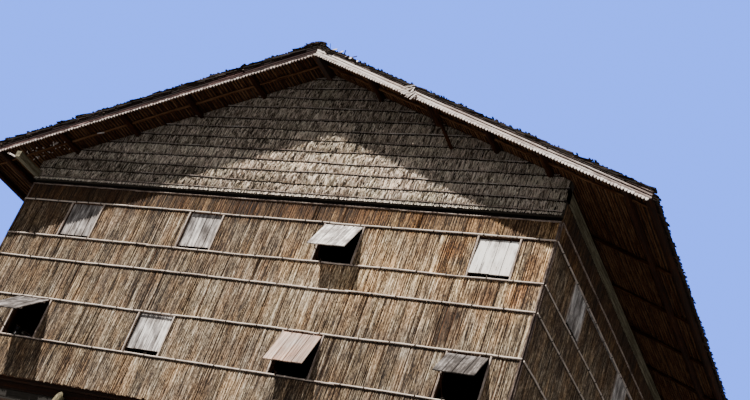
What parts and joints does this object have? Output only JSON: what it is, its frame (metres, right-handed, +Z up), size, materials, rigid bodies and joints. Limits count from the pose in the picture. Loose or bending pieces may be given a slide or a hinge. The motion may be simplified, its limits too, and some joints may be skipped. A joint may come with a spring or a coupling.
{
  "type": "longhouse",
  "caption": "Tall storeyed longhouse raised on round posts, with slatted walls, top-hung plank shutters, thatched gables and a low thatched gable roof.",
  "frame": {"origin": "on the ground under the ridge, halfway along the house", "axes": "+X to the right along the gable front, +Y from the front into the house along the ridge, +Z up"},
  "size_m": [13.84, 20.92, 14.3963],
  "materials": {
    "slats": "weathered split slats, matt",
    "batten": "sun-bleached pole, matt",
    "gable_thatch": "dry grey-brown palm thatch, matt",
    "roof_thatch": "dark weathered palm thatch, matt",
    "bargeboard": "bare weathered board, matt",
    "roof_frame": "dark unpainted timber, matt",
    "shutter": "bare grey planks, matt",
    "post": "bare round hardwood, matt",
    "floor": "bare dark boards, matt"
  },
  "bodies": {
    "root": {"post_frame_1": "post", "post_frame_2": "post", "post_frame_3": "post", "post_frame_4": "post", "post_frame_5": "post", "post_frame_6": "post", "post_frame_7": "post", "lower_floor": "floor", "upper_floor": "floor", "front_lower_wall": "slats", "front_upper_wall": "slats", "front_battens": "batten", "rear_lower_wall": "slats", "rear_upper_wall": "slats", "rear_battens": "batten", "left_lower_wall": "slats", "left_upper_wall": "slats", "left_battens": "batten", "right_lower_wall": "slats", "right_upper_wall": "slats", "right_battens": "batten", "front_gable": "gable_thatch", "front_left_bargeboard": "bargeboard", "front_right_bargeboard": "bargeboard", "rear_gable": "gable_thatch", "rear_left_bargeboard": "bargeboard", "rear_right_bargeboard": "bargeboard", "front_upper_shutter_1": "shutter", "front_upper_shutter_2": "shutter", "front_upper_shutter_3": "shutter", "front_upper_shutter_4": "shutter", "rear_upper_shutters": "shutter", "left_upper_shutters": "shutter", "right_upper_shutters": "shutter", "front_lower_shutter_1": "shutter", "front_lower_shutter_2": "shutter", "front_lower_shutter_3": "shutter", "front_lower_shutter_4": "shutter", "rear_lower_shutters": "shutter", "left_lower_shutters": "shutter", "right_lower_shutters": "shutter", "ridge_beam": "roof_frame", "left_roof_lattice": "roof_frame", "left_wall_plate": "roof_frame", "left_roof_thatch": "roof_thatch", "right_roof_lattice": "roof_frame", "right_wall_plate": "roof_frame", "right_roof_thatch": "roof_thatch", "ridge_cap": "roof_thatch"}
  },
  "joints": []
}
